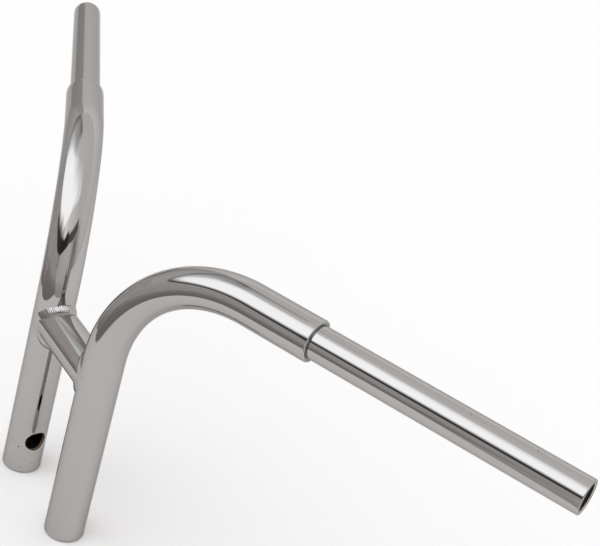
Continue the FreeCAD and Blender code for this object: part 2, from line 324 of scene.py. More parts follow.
def hole_rings(loop_angle, loop_height, sizes):
    """Rings of points from the outside's window through the wiring hole to the bore's window.

    A point is its depth along the hole, its place across it and its height. On a wall of radius r a ring
    blends the window's angle and height into those of a circle, at r (cos, sin) of that angle. Inside the
    hole the rings follow its rounded edge and its straight wall. Returns them, and the surface of the faces
    up to each ring and past the last one.
    """
    outer, inner = walls_of(sizes)
    clock = np.arctan2(loop_height - sizes.hole_height, loop_angle * outer)

    def on_wall(radius, edge, blend):
        ring_angle = np.arcsin(edge * np.cos(clock) / radius)
        ring_height = sizes.hole_height + edge * np.sin(clock)
        turned = loop_angle + (ring_angle - loop_angle) * blend[:, None]
        height = loop_height + (ring_height - loop_height) * blend[:, None]
        return np.stack([radius * np.cos(turned), radius * np.sin(turned), height], axis=-1)

    def inside(width, depth):
        height = sizes.hole_height + width[:, None] * np.sin(clock)
        return np.stack([depth, width[:, None] * np.cos(clock), height], axis=-1)

    blend_rings, edge_rings, wall_rings, crowding = 12, 5, 5, 1.4
    blend = 1 - (1 - np.linspace(0, 1, blend_rings + 1)[1:]) ** crowding
    sine, cosine = quarter_round(edge_rings)
    edge_width = sizes.hole + sizes.hole_rounding * (1 - sine)
    edge_depth = (np.sqrt(outer ** 2 - (edge_width[:, None] * np.cos(clock)) ** 2)
                  - sizes.hole_rounding * (1 - cosine)[:, None])
    bore_depth = np.sqrt(inner ** 2 - (sizes.hole * np.cos(clock)) ** 2)
    deep = np.linspace(0, 1, wall_rings + 1)[1:, None]
    wall_depth = edge_depth[-1] * (1 - deep) + bore_depth * deep
    stretches = [
        (PLATE, on_wall(outer, sizes.hole + sizes.hole_rounding, blend)),
        (EDGE, inside(edge_width, edge_depth)),
        (CUT, inside(np.full(wall_rings, sizes.hole), wall_depth)),
        (BORE, on_wall(inner, sizes.hole, blend[:-1][::-1]))]
    surface = [kind for kind, rings in stretches for _ in rings] + [BORE]
    return np.concatenate([rings for _, rings in stretches]), surface


def bar_tube(side, sizes):
    """Leg, bend and arm as one closed wall with a wiring hole.

    A closed profile of distance and radius, up the outside and back down the bore, is turned round the centre
    line. Round the hole a window of both grids is left out, and rings of points fill it.
    """
    outer, inner = walls_of(sizes)
    end = sizes.leg + sizes.bend * math.pi / 2 + sizes.arm
    rows, first = bar_rows(sizes)
    sine, cosine = quarter_round(steps=6)
    bore_along = np.concatenate([[end], rows[::-1], [0.0]])
    along = np.concatenate([
        rows, end - sizes.arm_rounding * (1 - sine), bore_along, sizes.foot_rounding * (1 - sine[::-1])])
    radius = np.concatenate([
        np.full(len(rows), outer), outer - sizes.arm_rounding * (1 - cosine), np.full(len(bore_along), inner),
        outer - sizes.foot_rounding * (1 - cosine[::-1])])
    outside = len(rows) + len(sine)
    surface = np.repeat([PLATE, END, BORE, PLATE], [outside - 1, 1, len(bore_along) - 1, len(sine) + 1])

    out = heading(side, sizes)
    faces_to = np.array([-side * math.cos(sizes.hole_turn), -math.sin(sizes.hole_turn), 0.0])
    start = math.atan2(faces_to @ np.cross(UP, out), faces_to @ out)
    points = bar_points(along, radius, start + circle(TUBE_COLUMNS), side, sizes).reshape(-1, 3)
    quads = torus_quads(len(along), TUBE_COLUMNS)

    bore_row = outside + len(rows) - np.arange(len(rows))
    row, column = np.divmod(np.arange(len(quads)), TUBE_COLUMNS)
    in_columns = (column + WINDOW_HALF) % TUBE_COLUMNS < 2 * WINDOW_HALF
    in_outside = (row >= first) & (row < first + WINDOW_ROWS)
    in_bore = (row >= bore_row[first + WINDOW_ROWS]) & (row < bore_row[first])
    keep = ~(in_columns & (in_outside | in_bore))

    loop_row, loop_column = window_loop(first)
    rings, ring_surface = hole_rings(2 * math.pi * loop_column / TUBE_COLUMNS, rows[loop_row], sizes)
    ring_points = foot_centre(side, sizes) + rings @ np.stack([faces_to, np.cross(UP, faces_to), UP])
    ring_index = len(points) + np.arange(rings[..., 0].size).reshape(rings.shape[:2])
    loop_column = loop_column % TUBE_COLUMNS
    stack = np.concatenate([
        [loop_row * TUBE_COLUMNS + loop_column],
        ring_index,
        [bore_row[loop_row] * TUBE_COLUMNS + loop_column]])
    turned = np.roll(stack, -1, axis=1)
    patch = np.stack([stack[:-1], turned[:-1], turned[1:], stack[1:]], axis=-1).reshape(-1, 4)
    return (np.concatenate([points, ring_points.reshape(-1, 3)]), np.concatenate([quads[keep], patch]),
            np.concatenate([surface[row][keep], np.repeat(ring_surface, len(loop_row))]))


def cross_tube(sizes):
    """Straight tube whose ends are coped round the legs.

    Along X each line of the wall runs to the leg's outside: x = half the spacing - sqrt(cope radius^2 - y^2).
    """
    columns, outside, inside = 128, 25, 9
    angle = circle(columns)
    outer, inner = walls_of(sizes)
    share_along = np.concatenate([np.linspace(-1, 1, outside), np.linspace(1, -1, inside)])[:, None]
    radius = np.repeat([outer, inner], [outside, inside])[:, None]
    aside = radius * np.sin(angle)
    reach = sizes.riser_spacing / 2 - np.sqrt((outer + sizes.cope_gap) ** 2 - aside ** 2)
    points = np.stack([share_along * reach, -aside, sizes.cross_height + radius * np.cos(angle)], axis=-1)
    surface = np.repeat([PLATE, BORE, PLATE], [outside - 1, inside, 1])
    return points.reshape(-1, 3), torus_quads(outside + inside, columns), np.repeat(surface, columns)


def weld_swell(turn, fan, step, sizes):
    """How much a bead's face swells, as a share of its radius, along the seam and round each fan of rays.

    Ripples of random height and lean bow along the bead, over a slow wander. Both die away at the tips, where
    the two tubes run side by side. The step is how fast the seam's length grows with the turn.
    """
    ripples = int(round(step.sum() * 2 * math.pi / len(turn) / sizes.ripple_pitch))
    chance = np.random.default_rng(sizes.seed)
    heights = chance.uniform(0.45, 1.0, ripples)
    lean = chance.uniform(-0.25, 0.25, ripples)
    travelled = np.cumsum(step) / step.sum()
    bow = 0.9 * (fan / 1.3) ** 2 * (np.abs(fan) < 2)
    phase = ripples * travelled[:, None] - bow
    number = np.floor(phase).astype(int) % ripples
    crest = np.sin(math.pi * (phase % 1) ** 0.7) - 0.5
    ripple = heights[number] * (crest + lean[number] * np.sin(fan))
    wander = 0.03 * np.sin(3 * turn + 1) + 0.025 * np.sin(7 * turn + 2.2) + 0.02 * np.sin(11 * turn)
    fading = np.clip(1 - 1.6 * np.abs(np.sin(turn)) ** 3, 0, 1)
    return fading[:, None] * (sizes.ripple * ripple + wander[:, None])


def weld_bead(side, tube, sizes):
    """Rippled bead round one end of the cross tube.

    With f and g the distances outside the leg and outside the cross tube, the bead's face is the round
    (f + sink)^2 + (g + sink)^2 = face radius^2, and under the tubes it stops where f or g is -depth. The sink
    grows towards the tips, where the two tubes run side by side. Rays from the seam, in the plane across it,
    find that face by halving.
    """
    along, around = 520, 72
    longest_ray, halvings = 0.016, 36
    radius = tube.diameter / 2
    turn = circle(along)
    reach = np.hypot(radius * np.cos(turn), sizes.tip_rounding)
    seam = np.stack([reach, radius * np.sin(turn), radius * np.cos(turn)], axis=-1)
    tangent = np.stack([-radius ** 2 * np.cos(turn) * np.sin(turn) / reach, seam[:, 2], -seam[:, 1]], axis=-1)
    step = np.linalg.norm(tangent, axis=1)
    tangent /= step[:, None]
    leg_normal = seam * [1, 1, 0] / np.linalg.norm(seam[:, :2], axis=1, keepdims=True)
    cross_normal = seam * [0, 1, 1] / radius
    away = leg_normal + cross_normal
    away -= (away * tangent).sum(axis=1, keepdims=True) * tangent
    away /= np.linalg.norm(away, axis=1, keepdims=True)
    across = np.cross(tangent, away)
    fan = np.linspace(-math.pi, math.pi, around, endpoint=False)
    ray = np.cos(fan)[None, :, None] * away[:, None, :] + np.sin(fan)[None, :, None] * across[:, None, :]
    face = sizes.face_radius * (1 + weld_swell(turn, fan, step, sizes))

    def outside(distance):
        """How far the points at these distances along the rays lie outside the bead's face."""
        spot = seam[:, None, :] + distance[..., None] * ray
        leg_gap = np.hypot(spot[..., 0], spot[..., 1]) - radius
        cross_gap = np.hypot(spot[..., 1], spot[..., 2]) - radius
        behind = np.hypot(np.maximum(cross_gap, 0), spot[..., 0])
        cross_gap = np.where(spot[..., 0] < 0, behind, cross_gap)
        aside = np.clip(np.abs(spot[..., 1]) / radius, 0, 1)
        sink = sizes.sink + (sizes.tip_sink - sizes.sink) * aside ** 4
        beyond_face = np.hypot(leg_gap + sink, cross_gap + sink) - face
        return np.maximum(beyond_face, -np.minimum(leg_gap, cross_gap) - sizes.depth)

    near, far = np.zeros((along, around)), np.full((along, around), longest_ray)
    for _ in range(halvings):
        middle = (near + far) / 2
        beyond = outside(middle) > 0
        far = np.where(beyond, middle, far)
        near = np.where(beyond, near, middle)
    spot = seam[:, None, :] + near[..., None] * ray
    points = spot * [-side, 1, 1] + foot_centre(side, tube) + tube.cross_height * UP
    quads = torus_quads(along, around)
    return points.reshape(-1, 3), quads if side < 0 else quads[:, ::-1]


def turned_points(along, radius, angle, origin, axis):
    """Turn a profile round an axis: origin + along * axis + radius (cos N + sin axis x N)."""
    normal = np.array([1.0, 0, 0]) if abs(axis[2]) > 0.9 else UP
    ring = np.cos(angle)[:, None] * normal + np.sin(angle)[:, None] * np.cross(axis, normal)
    return origin + along[:, None, None] * axis + radius[:, :, None] * ring


def grip_tube(side, tube, sizes):
    """Open grip tube with rounded rims, and the spigot that sits in the arm.

    The closed profile runs out along the grip, round the rim, back through the bore and along the spigot. In
    the bore a low ridge, a bell curve over the angle, is the rolled tube's seam.
    """
    columns, rim, grip_rows, bore_rows = 128, 6, 22, 24
    seam_turn, seam_width = 2.6, 0.09
    angle = circle(columns)
    outer, bore, lip = sizes.diameter / 2, sizes.bore / 2, sizes.rim_rounding
    spigot = walls_of(tube)[1] - sizes.slip_gap
    sine, cosine = quarter_round(rim)
    grip = np.linspace(0, sizes.shown - lip, grip_rows)
    inside = np.linspace(sizes.shown - lip, -sizes.spigot, bore_rows)[1:]
    along = np.concatenate([
        grip, sizes.shown - lip + lip * sine, [sizes.shown], sizes.shown - lip + lip * cosine, inside,
        [-sizes.spigot, 0.0]])
    radius = np.concatenate([
        np.full(len(grip), outer), outer - lip + lip * cosine, [bore + lip], bore + lip - lip * sine,
        np.full(len(inside), bore), [spigot, spigot]])
    in_bore = np.concatenate([np.zeros(len(grip) + rim + 1), sine, np.ones(len(inside)), [0, 0]])
    ridge = sizes.seam_ridge * np.exp(-((angle - seam_turn) / seam_width) ** 2)
    plated = len(grip) + rim // 2
    counts = [plated, rim, rim // 2, len(along) - plated - rim - rim // 2]
    # The rim's inner rounding takes the pale edge colour, which on a grip is a painted highlight.
    surface = np.repeat([PLATE, END, EDGE, BORE], counts)
    points = turned_points(
        along, radius[:, None] - in_bore[:, None] * ridge, angle, arm_end(side, tube), heading(side, tube))
    return points.reshape(-1, 3), torus_quads(len(along), columns), np.repeat(surface, columns)


def foot_bung(side, tube, sizes, slip_gap):
    """Round plug with a thread cut right through it.

    The thread's radius is the bore's plus the depth times a flattened zigzag of
    (height / pitch - angle / turn), and it fades out into the lead-ins.
    """
    columns, plain_rows, thread_rows = 72, 4, 150
    angle = circle(columns)
    outer = walls_of(tube)[1] - slip_gap
    root, chamfer = sizes.thread_root, sizes.lead_in
    along = np.concatenate([
        np.linspace(0, sizes.height, plain_rows), [sizes.height],
        np.linspace(sizes.height - chamfer, chamfer, thread_rows), [0.0]])
    radius = np.repeat([outer, root + chamfer, root, root + chamfer], [plain_rows, 1, thread_rows, 1])
    threaded = np.repeat([0, 1, 0], [plain_rows + 1, thread_rows, 1])
    zigzag = np.abs(2 * ((along[:, None] / sizes.pitch - angle / (2 * math.pi)) % 1) - 1)
    cut = np.clip(1.25 * zigzag - 0.125, 0, 1)
    fade = np.clip(np.minimum(along - chamfer, sizes.height - chamfer - along) / sizes.pitch, 0, 1)
    depth = sizes.thread_depth * cut * (threaded * fade)[:, None]
    points = turned_points(along, radius[:, None] + depth, angle, foot_centre(side, tube), UP)
    return points.reshape(-1, 3), torus_quads(len(along), columns)


def nick_places(nicks, radius, origin, axis):
    """Centre and radius of each nick that is given round and along a straight tube."""
    places = []
    for degrees, along, size in nicks:
        spot = turned_points(np.array([along]), np.array([[radius]]), np.radians([degrees]), origin, axis)
        places.append((tuple(spot[0, 0]), size))
    return places


def node(tree, kind, inputs=None, **settings):
    """Add a node, set its own settings, and give its inputs values or links."""
    made = tree.nodes.new(kind)
    for name, value in settings.items():
        setattr(made, name, value)
    for name, value in (inputs or {}).items():
        if isinstance(value, bpy.types.NodeSocket):
            tree.links.new(value, made.inputs[name])
        else:
            made.inputs[name].default_value = value
    return made


def link_inputs(tree, target, links):
    """Link these outputs to the target node's inputs of the same names."""
    for name, output in links.items():
        tree.links.new(output, target.inputs[name])


def maths(tree, operation, first, second=0.0, third=0.0):
    return node(tree, "ShaderNodeMath", {0: first, 1: second, 2: third}, operation=operation).outputs[0]


def remap(tree, value, low, high, to_low=0.0, to_high=1.0):
    """Map the value smoothly from low..high to another range, and stop at its ends."""
    made = node(
        tree, "ShaderNodeMapRange",
        {"Value": value, "From Min": low, "From Max": high, "To Min": to_low, "To Max": to_high},
        interpolation_type="SMOOTHSTEP")
    return made.outputs["Result"]


def mix_colour(tree, factor, first, second):
    """First colour where the factor is 0, second where it is 1."""
    ends = [value if isinstance(value, bpy.types.NodeSocket) else (*value, 1) for value in (first, second)]
    inputs = {"Factor": factor, 6: ends[0], 7: ends[1]}
    return node(tree, "ShaderNodeMix", inputs, data_type="RGBA").outputs[2]


def mix_value(tree, factor, first, second):
    """First value where the factor is 0, second where it is 1."""
    return node(tree, "ShaderNodeMix", {0: factor, 2: first, 3: second}).outputs[0]


def ramp(tree, factor, stops):
    """Ramp of greys from a list of (place, grey)."""
    made = node(tree, "ShaderNodeValToRGB", {"Fac": factor})
    elements = made.color_ramp.elements
    while len(elements) < len(stops):
        elements.new(0.5)
    for element, (place, grey) in zip(elements, stops):
        element.position = place
        element.color = (grey, grey, grey, 1)
    return made.outputs["Color"]


def noise(tree, vector, scale, detail, roughness=0.5):
    inputs = {"Vector": vector, "Scale": scale, "Detail": detail, "Roughness": roughness}
    return node(tree, "ShaderNodeTexNoise", inputs).outputs["Fac"]


def bump(tree, height, distance, **under):
    """Normal of a relief of this height, over an earlier Normal if one is given."""
    inputs = {"Height": height, "Strength": 1.0, "Distance": distance, **under}
    return node(tree, "ShaderNodeBump", inputs).outputs["Normal"]


def coordinate(tree, vector, letter):
    return node(tree, "ShaderNodeSeparateXYZ", {"Vector": vector}).outputs[letter]


def distance(tree, first, second=(0.0, 0.0, 0.0)):
    return node(tree, "ShaderNodeVectorMath", {0: first, 1: second}, operation="DISTANCE").outputs["Value"]


def object_place(tree):
    return node(tree, "ShaderNodeTexCoord").outputs["Object"]


def new_group(name, inputs, outputs):
    """Empty shader node group that takes a vector and these numbers, and its two end nodes."""
    group = bpy.data.node_groups.new(name, "ShaderNodeTree")
    group.interface.new_socket("Vector", in_out="INPUT", socket_type="NodeSocketVector")
    for label in inputs:
        group.interface.new_socket(label, in_out="INPUT", socket_type="NodeSocketFloat")
    for label in outputs:
        group.interface.new_socket(label, in_out="OUTPUT", socket_type="NodeSocketFloat")
    return group, node(group, "NodeGroupInput").outputs, node(group, "NodeGroupOutput")


def plate_marks_group(name):
    """Marks of polishing on the plate: a haze that varies the gloss, and a slow waviness of the surface."""
    group, given, end = new_group(name, ["Gloss", "Haze"], ["Roughness", "Waviness"])
    haze = remap(group, noise(group, given["Vector"], 34.0, 5.0, 0.6), 0.42, 0.72)
    grain = remap(group, noise(group, given["Vector"], 900.0, 2.0), 0.5, 0.8)
    added = maths(group, "MULTIPLY_ADD", grain, 0.35, haze)
    link_inputs(group, end, {
        "Roughness": maths(group, "MULTIPLY_ADD", added, given["Haze"], given["Gloss"]),
        "Waviness": noise(group, given["Vector"], 26.0, 1.0)})
    return group


def pits_group(name):
    """Scattered pits: a round spot in the middle of some cells of a random pattern."""
    group, given, end = new_group(name, ["Scale", "Radius", "Share"], ["Mask"])
    cells = node(group, "ShaderNodeTexVoronoi", {"Vector": given["Vector"], "Scale": given["Scale"]})
    picked = node(group, "ShaderNodeSeparateColor", {"Color": cells.outputs["Color"]})
    chosen = maths(group, "LESS_THAN", picked.outputs["Red"], given["Share"])
    size = maths(group, "MULTIPLY_ADD", picked.outputs["Green"], 0.7, 0.5)
    limit = maths(group, "MULTIPLY", size, given["Radius"])
    inner = maths(group, "MULTIPLY", limit, 0.55)
    spot = remap(group, cells.outputs["Distance"], inner, limit, 1.0, 0.0)
    link_inputs(group, end, {"Mask": maths(group, "MULTIPLY", spot, chosen)})
    return group


def bare_steel_group(name):
    """Stained bare steel: large stains, fine scale, and the height of that scale."""
    group, given, end = new_group(name, ["Scale"], ["Stain", "Roughness", "Height"])
    fine = noise(group, given["Vector"], given["Scale"], 6.0, 0.65)
    large = noise(group, given["Vector"], maths(group, "MULTIPLY", given["Scale"], 0.3), 3.0)
    stain = maths(group, "MULTIPLY_ADD", fine, 0.5, maths(group, "MULTIPLY", large, 0.7))
    link_inputs(group, end, {
        "Stain": remap(group, stain, 0.45, 0.78),
        "Roughness": remap(group, stain, 0.4, 0.8, 0.35, 0.75),
        "Height": fine})
    return group


def place_group(tree, name, build, inputs):
    """Outputs of the node group of that name, which is built on first use."""
    group = bpy.data.node_groups.get(name) or build(name)
    return node(tree, "ShaderNodeGroup", inputs, node_tree=group).outputs


def new_material(name, inputs):
    """Material with a Principled surface and these constants. Returns it, its tree and the shader."""
    material = bpy.data.materials.new(name)
    material.use_nodes = True
    tree = material.node_tree
    tree.nodes.clear()
    shader = node(tree, "ShaderNodeBsdfPrincipled", inputs)
    node(tree, "ShaderNodeOutputMaterial", {"Surface": shader.outputs["BSDF"]})
    return material, tree, shader


def material_once(name, build, *inputs, **options):
    """The material of that name, built on first use."""
    return bpy.data.materials.get(name) or build(name, *inputs, **options)


def pit_marks(tree, place, scale, radius, chosen):
    inputs = {"Vector": place, "Scale": scale, "Radius": radius, "Share": chosen}
    return place_group(tree, "plate pits", pits_group, inputs)["Mask"]


def nick_marks(tree, place, nicks):
    """Largest of several round spots, each given by its centre and radius."""
    marks = 0.0
    for centre, size in nicks:
        spot = remap(tree, distance(tree, place, centre), size * 0.45, size, 1.0, 0.0)
        marks = maths(tree, "MAXIMUM", spot, marks)
    return marks


def scuff_marks(tree, place, below):
    """Small nicks in patches near the feet, none of them above this height."""
    near_foot = remap(tree, coordinate(tree, place, "Z"), below * 0.4, below, 1.0, 0.0)
    patchy = remap(tree, noise(tree, place, 70.0, 2.0), 0.50, 0.58, 0.0, 0.35)
    spots = pit_marks(tree, place, 300.0, 0.16, 0.30)
    return maths(tree, "MULTIPLY", maths(tree, "MULTIPLY", near_foot, patchy), spots)


def chrome(name, finish, haze=0.03, pits=0.06, grain=0.0, scuffed_below=0.0, nicks=()):
    """Chrome plate: mirror metal with a faint haze, slow waviness and a few pits.

    A grain height adds the roughness of a welded surface, scuffed_below scatters nicks near the feet, and
    nicks sets single ones.
    """
    material, tree, shader = new_material(name, {"Metallic": 1.0, "Specular Tint": (*finish.grazing, 1)})
    place = object_place(tree)
    marks = place_group(
        tree, "plate marks", plate_marks_group, {"Vector": place, "Gloss": finish.gloss, "Haze": haze})
    spots = pit_marks(tree, place, 62.0, 0.024, pits)
    if nicks:
        spots = maths(tree, "MAXIMUM", spots, nick_marks(tree, place, nicks))
    if scuffed_below:
        spots = maths(tree, "MAXIMUM", spots, scuff_marks(tree, place, scuffed_below))
    normal = bump(tree, marks["Waviness"], 0.000012)
    if grain:
        normal = bump(tree, noise(tree, place, 750.0, 3.0), grain, Normal=normal)
    link_inputs(tree, shader, {
        "Base Color": mix_colour(tree, maths(tree, "MULTIPLY", spots, 0.75), finish.chrome, finish.pit),
        "Roughness": maths(tree, "MULTIPLY_ADD", spots, 0.4, marks["Roughness"]),
        "Normal": normal})
    return material


def bare_steel(name, clean, stain, scale, relief=0.00012, metallic=0.0):
    """Bare steel with stains and scale."""
    material, tree, shader = new_material(name, {"Metallic": metallic})
    steel = place_group(
        tree, "bare steel", bare_steel_group, {"Vector": object_place(tree), "Scale": scale})
    link_inputs(tree, shader, {
        "Base Color": mix_colour(tree, steel["Stain"], clean, stain),
        "Roughness": steel["Roughness"],
        "Normal": bump(tree, steel["Height"], relief)})
    return material


def dull_metal(name, shade):
    """Metal of one shade with little shine."""
    return new_material(name, {"Base Color": (*shade, 1), "Metallic": 1.0, "Roughness": 0.35})[0]


def turned_steel(name, finish, centres):
    """Machined steel: fine rings about each plug's axis, over stained metal."""
    material, tree, shader = new_material(name, {"Metallic": 1.0})
    place = object_place(tree)
    aside = coordinate(tree, place, "Y")
    from_axis = maths(tree, "SUBTRACT", maths(tree, "ABSOLUTE", coordinate(tree, place, "X")), centres)
    square = maths(tree, "MULTIPLY_ADD", from_axis, from_axis, maths(tree, "MULTIPLY", aside, aside))
    rings = maths(tree, "MULTIPLY", maths(tree, "SQRT", square), 4200.0)
    inputs = {"W": rings, "Scale": 1.0, "Detail": 2.0}
    grooves = node(tree, "ShaderNodeTexNoise", inputs, noise_dimensions="1D").outputs["Fac"]
    steel = place_group(tree, "bare steel", bare_steel_group, {"Vector": place, "Scale": 160.0})
    stain = maths(tree, "MULTIPLY", steel["Stain"], 0.75)
    link_inputs(tree, shader, {
        "Base Color": mix_colour(tree, stain, finish.turned_steel, finish.rust),
        "Roughness": remap(tree, grooves, 0.3, 0.7, 0.28, 0.5),
        "Normal": bump(tree, grooves, 0.00001)})
    return material


def tube_materials(plate, finish):
    """Materials of a tube's surfaces, in the order PLATE, BORE, END, EDGE, CUT."""
    # The bores' bare steel is darkened to near black as painted shade.
    bore = material_once("shaded bore steel", bare_steel, finish.shaded_raw_steel, finish.rust, scale=220.0, metallic=0.3)
    end = material_once("dark end faces", dull_metal, finish.dark_end_faces)
    # Edge of the plate worn at the wiring hole, and a painted highlight on the grips' inner rims.
    edge = material_once(
        "worn edge and highlight", bare_steel, finish.worn_edge_and_highlight, finish.plate_wear, scale=900.0, relief=0.00004)
    cut = material_once("cut steel", bare_steel, finish.cut_steel, finish.cut_stain, scale=420.0)
    return [plate, bore, end, edge, cut]


class HANDLEBAR_OT_bar_tubes(bpy.types.Operator):
    """Make both bent tubes, each with its leg, bend, arm and wiring hole"""

    bl_idname = "handlebar.bar_tubes"
    bl_label = "Bar tubes"

    def execute(self, context):
        sizes, finish = context.scene.handlebar_tubes, context.scene.handlebar_finish
        nicks = nick_places(LEG_NICKS, sizes.diameter / 2, foot_centre(SIDES["right"], sizes), UP)
        plate = material_once("tube chrome", chrome, finish, scuffed_below=0.03, nicks=nicks)
        materials = tube_materials(plate, finish)
        for name, side in SIDES.items():
            make_piece(
                f"{name}_bent_tube", f"{name}_bar_tube", "tube_chrome", materials, *bar_tube(side, sizes))
        return {"FINISHED"}


class HANDLEBAR_OT_cross_tube(bpy.types.Operator):
    """Make the coped tube between the legs"""

    bl_idname = "handlebar.cross_tube"
    bl_label = "Cross tube"

    def execute(self, context):
        sizes, finish = context.scene.handlebar_tubes, context.scene.handlebar_finish
        materials = tube_materials(material_once("cross chrome", chrome, finish), finish)
        make_piece("coped_tube", "cross_tube", "cross_chrome", materials[:BORE + 1], *cross_tube(sizes))
        return {"FINISHED"}


class HANDLEBAR_OT_cross_welds(bpy.types.Operator):
    """Make the rippled beads round both ends of the cross tube"""

    bl_idname = "handlebar.cross_welds"
    bl_label = "Cross welds"

    def execute(self, context):
        scene = context.scene
        plate = material_once(
            "weld chrome", chrome, scene.handlebar_finish, haze=0.08, pits=0.2, grain=0.00003)
        for name, side in SIDES.items():
            make_piece(
                f"{name}_weld_bead", f"{name}_cross_weld", "weld_chrome", [plate],
                *weld_bead(side, scene.handlebar_tubes, scene.handlebar_welds))
        return {"FINISHED"}


class HANDLEBAR_OT_grip_tubes(bpy.types.Operator):
    """Make the thinner open tubes that the grips go on"""

    bl_idname = "handlebar.grip_tubes"
    bl_label = "Grip tubes"

    def execute(self, context):
        scene = context.scene
        tube, sizes, finish = scene.handlebar_tubes, scene.handlebar_grips, scene.handlebar_finish
        left = SIDES["left"]
        nicks = nick_places(GRIP_NICKS, sizes.diameter / 2, arm_end(left, tube), heading(left, tube))
        plate = material_once("grip chrome", chrome, finish, pits=0.05, nicks=nicks)
        materials = tube_materials(plate, finish)[:EDGE + 1]
        for name, side in SIDES.items():
            make_piece(
                f"{name}_open_grip", f"{name}_grip_tube", "grip_chrome", materials,
                *grip_tube(side, tube, sizes))
        return {"FINISHED"}


class HANDLEBAR_OT_foot_bungs(bpy.types.Operator):
    """Make the threaded plugs in the feet"""

    bl_idname = "handlebar.foot_bungs"
    bl_label = "Foot bungs"

    def execute(self, context):
        scene = context.scene
        tube = scene.handlebar_tubes
        steel = material_once("bung steel", turned_steel, scene.handlebar_finish, tube.riser_spacing / 2)
        for name, side in SIDES.items():
            make_piece(
                f"{name}_threaded_plug", f"{name}_foot_bung", "bung_steel", [steel],
                *foot_bung(side, tube, scene.handlebar_bungs, scene.handlebar_grips.slip_gap))
        return {"FINISHED"}


def stage_plane(name, corners, material):
    """Flat stage piece with these corners."""
    mesh = bpy.data.meshes.new(name)
    mesh.from_pydata(corners, [], [tuple(range(len(corners)))])
    mesh.materials.append(material)
    plane = bpy.data.objects.new(name, mesh)
    bpy.context.scene.collection.objects.link(plane)
    return plane


def reflected_card(name, corners, material):
    """Stage piece that only shiny surfaces show."""
    card = stage_plane(name, corners, material)
    for rays in ("camera", "diffuse", "shadow", "transmission"):
        setattr(card, f"visible_{rays}", False)


def lying(corners, height):
    """Corners of a flat outline, all at this height."""
    return [(x, y, height) for x, y in corners]


def paper(name, shade):
    return new_material(name, {"Base Color": (*shade, 1), **DULL})[0]


def table_top(name, near_shade, far_shade):
    """Dull table that is darker near the bar."""
    material, tree, shader = new_material(name, DULL)
    pale = remap(tree, distance(tree, object_place(tree)), TABLE_DARK_WITHIN, TABLE_PALE_BEYOND)
    link_inputs(tree, shader, {"Base Color": mix_colour(tree, pale, near_shade, far_shade)})
    return material


def board_front(name, foot_shade, shade):
    """Dull board that is darker towards its foot."""
    material, tree, shader = new_material(name, DULL)
    pale = remap(tree, coordinate(tree, object_place(tree), "Z"), BOARD_LOW, BOARD_PALE_FROM)
    link_inputs(tree, shader, {"Base Color": mix_colour(tree, pale, foot_shade, shade)})
    return material


def elevation(degrees):
    """Place of a height in degrees on the tent's own scale, which runs from -1 to 1."""
    return degrees / 90


def by_compass(tree, around, stops):
    """Ramp round the compass, from stops of (degrees round from +X, value)."""
    return ramp(tree, around, [((degrees + 180) / 360, value) for degrees, value in stops])


def height_by_compass(tree, around, stops):
    """The same from stops of (degrees round from +X, height in degrees)."""
    return by_compass(tree, around, [(degrees, elevation(height)) for degrees, height in stops])


def above_edge(tree, above, edge, before, after):
    """0 under an edge and 1 over it, changing from so many degrees before it to so many after it."""
    low = maths(tree, "SUBTRACT", edge, elevation(before))
    high = maths(tree, "ADD", edge, elevation(after))
    return remap(tree, above, low, high)


def unlit_tent(tree, around, above):
    """Brightness of the tent without its lit side: walls, a dark gap over them, a pale shelf over part of the
    gap, and the roof."""
    walls = by_compass(tree, around, [
        (-180, 0.60), (-168, 0.40), (-160, 0.47), (-154, 0.56), (-148, 0.76), (-140, 0.84), (-90, 0.87),
        (-62, 0.98), (-17, 0.97), (-13, 0.56), (-2, 0.57), (2, 0.66), (30, 0.66), (45, 0.60), (60, 0.56),
        (112, 0.55), (118, 0.50), (121, 0.30), (125, 0.70), (150, 0.75), (172, 0.77), (180, 0.60)])
    brighter_above = remap(tree, above, elevation(-35), elevation(50), 0.90, 1.11)
    walls = maths(tree, "MULTIPLY", walls, brighter_above)
    gap_from = height_by_compass(tree, around, [
        (-180, 24.5), (-150, 31), (-20, 42), (-5, 38), (8, 31), (22, 25), (37, 15.5), (50, 12), (85, 10.5),
        (105, 8), (120, 9.5), (127, 12), (140, 17), (150, 20), (160, 23.5), (180, 24.5)])
    gap_level = by_compass(tree, around, [
        (-180, 0.15), (-163, 0.14), (-158, 0.84), (-150, 0.86), (-9, 0.86), (-6, 0.36), (2, 0.30), (30, 0.17),
        (60, 0.10), (130, 0.04), (147, 0.04), (158, 0.13), (180, 0.15)])
    shelf_from = height_by_compass(tree, around, [
        (-180, 35), (-165, 36), (-150, 35), (112, 21), (125, 23), (132, 24.5), (138, 29), (145, 32.5),
        (152, 30.5), (160, 32), (180, 35)])
    shelf_level = by_compass(tree, around, [
        (-180, 0.93), (-165, 0.84), (-150, 0.86), (112, 1.30), (135, 1.28), (141, 1.10), (155, 1.06),
        (165, 1.00), (180, 0.93)])
    shelf_share = by_compass(tree, around, [(-180, 1), (-160, 1), (-150, 0), (112, 0), (124, 1), (180, 1)])
    gap = above_edge(tree, above, gap_from, 1.2, 0.8)
    shelf = maths(tree, "MULTIPLY", above_edge(tree, above, shelf_from, 2, 2), shelf_share)
    roof = remap(tree, above, elevation(58), elevation(72))
    level = mix_value(tree, gap, walls, gap_level)
    level = mix_value(tree, shelf, level, shelf_level)
    return mix_value(tree, roof, level, 0.90)


